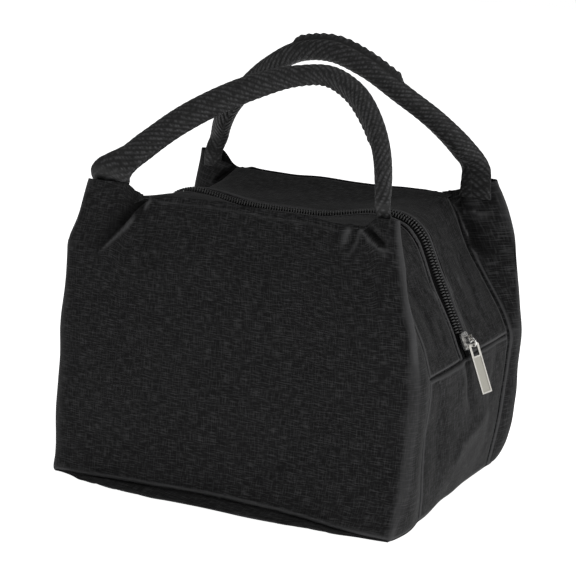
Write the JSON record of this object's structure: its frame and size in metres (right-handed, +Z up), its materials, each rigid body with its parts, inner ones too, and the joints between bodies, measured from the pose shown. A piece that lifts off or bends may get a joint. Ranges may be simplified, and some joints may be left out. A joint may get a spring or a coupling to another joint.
{
  "type": "insulated lunch bag",
  "caption": "Soft insulated lunch bag with a zip over the top and down both ends, foil lining and carrying handles sewn into raised corners.",
  "frame": {"origin": "middle of the base on the surface that the bag stands on", "axes": "+X towards the end with the zip slider, +Z up, front panel towards -Y"},
  "size_m": [0.2575, 0.172, 0.267],
  "materials": {
    "outer_cloth": "matte",
    "foam": "matte",
    "foil_lining": "gloss",
    "zip_tape": "matte",
    "zip_coil": "satin",
    "handle_webbing": "matte",
    "handle_core": "matte",
    "nickel": "polished",
    "pull_metal": "satin"
  },
  "bodies": {
    "tub": {"bottom_panel": "outer_cloth", "bottom_foam": "foam", "bottom_lining": "foil_lining", "right_end_panel": "outer_cloth", "right_end_foam": "foam", "right_end_lining": "foil_lining", "left_end_panel": "outer_cloth", "left_end_foam": "foam", "left_end_lining": "foil_lining"},
    "front_wall": {"front_panel": "outer_cloth", "front_foam": "foam", "front_lining": "foil_lining", "front_zip_panel": "outer_cloth", "front_zip_foam": "foam", "front_zip_lining": "foil_lining", "front_zip_tape": "zip_tape", "front_zip_coil": "zip_coil", "front_right_ear_facing": "outer_cloth", "front_left_ear_facing": "outer_cloth", "front_right_handle_end": "handle_webbing", "front_left_handle_end": "handle_webbing"},
    "back_wall": {"back_panel": "outer_cloth", "back_foam": "foam", "back_lining": "foil_lining", "back_zip_panel": "outer_cloth", "back_zip_foam": "foam", "back_zip_lining": "foil_lining", "back_zip_tape": "zip_tape", "back_zip_coil": "zip_coil", "back_right_ear_facing": "outer_cloth", "back_left_ear_facing": "outer_cloth", "back_right_handle_end": "handle_webbing", "back_left_handle_end": "handle_webbing"},
    "front_handle": {"front_handle_webbing": "handle_webbing", "front_handle_core": "handle_core"},
    "back_handle": {"back_handle_webbing": "handle_webbing", "back_handle_core": "handle_core"},
    "zip_slider": {"zip_slider": "nickel"},
    "zip_ring": {"zip_ring": "nickel"},
    "zip_pull": {"zip_pull": "pull_metal"}
  },
  "joints": [
    {"name": "front_opening", "type": "hinge", "parent": "tub", "child": "front_wall", "pos_m": [0, -0.086, 0], "axis": [1, 0, 0], "range_deg": [0, 15]},
    {"name": "back_opening", "type": "hinge", "parent": "tub", "child": "back_wall", "pos_m": [0, 0.086, 0], "axis": [-1, 0, 0], "range_deg": [0, 15]},
    {"name": "front_handle_swing", "type": "hinge", "parent": "front_wall", "child": "front_handle", "pos_m": [0, -0.06815, 0.18355], "axis": [1, 0, 0], "range_deg": [0, 180]},
    {"name": "back_handle_swing", "type": "hinge", "parent": "back_wall", "child": "back_handle", "pos_m": [0, 0.06815, 0.18355], "axis": [-1, 0, 0], "range_deg": [0, 170]},
    {"name": "zip_slide", "type": "slide", "parent": "tub", "child": "zip_slider", "axis": [0.4104, 0, -0.9119], "range_m": [-0.059, 0]},
    {"name": "ring_swing", "type": "hinge", "parent": "zip_slider", "child": "zip_ring", "pos_m": [0.12123, 0, 0.09831], "axis": [0, -1, 0], "range_deg": [0, 70]},
    {"name": "pull_swing", "type": "hinge", "parent": "zip_ring", "child": "zip_pull", "pos_m": [0.12294, 0, 0.09694], "axis": [-0.511, -0.8387, -0.1883], "range_deg": [0, 75]}
  ]
}
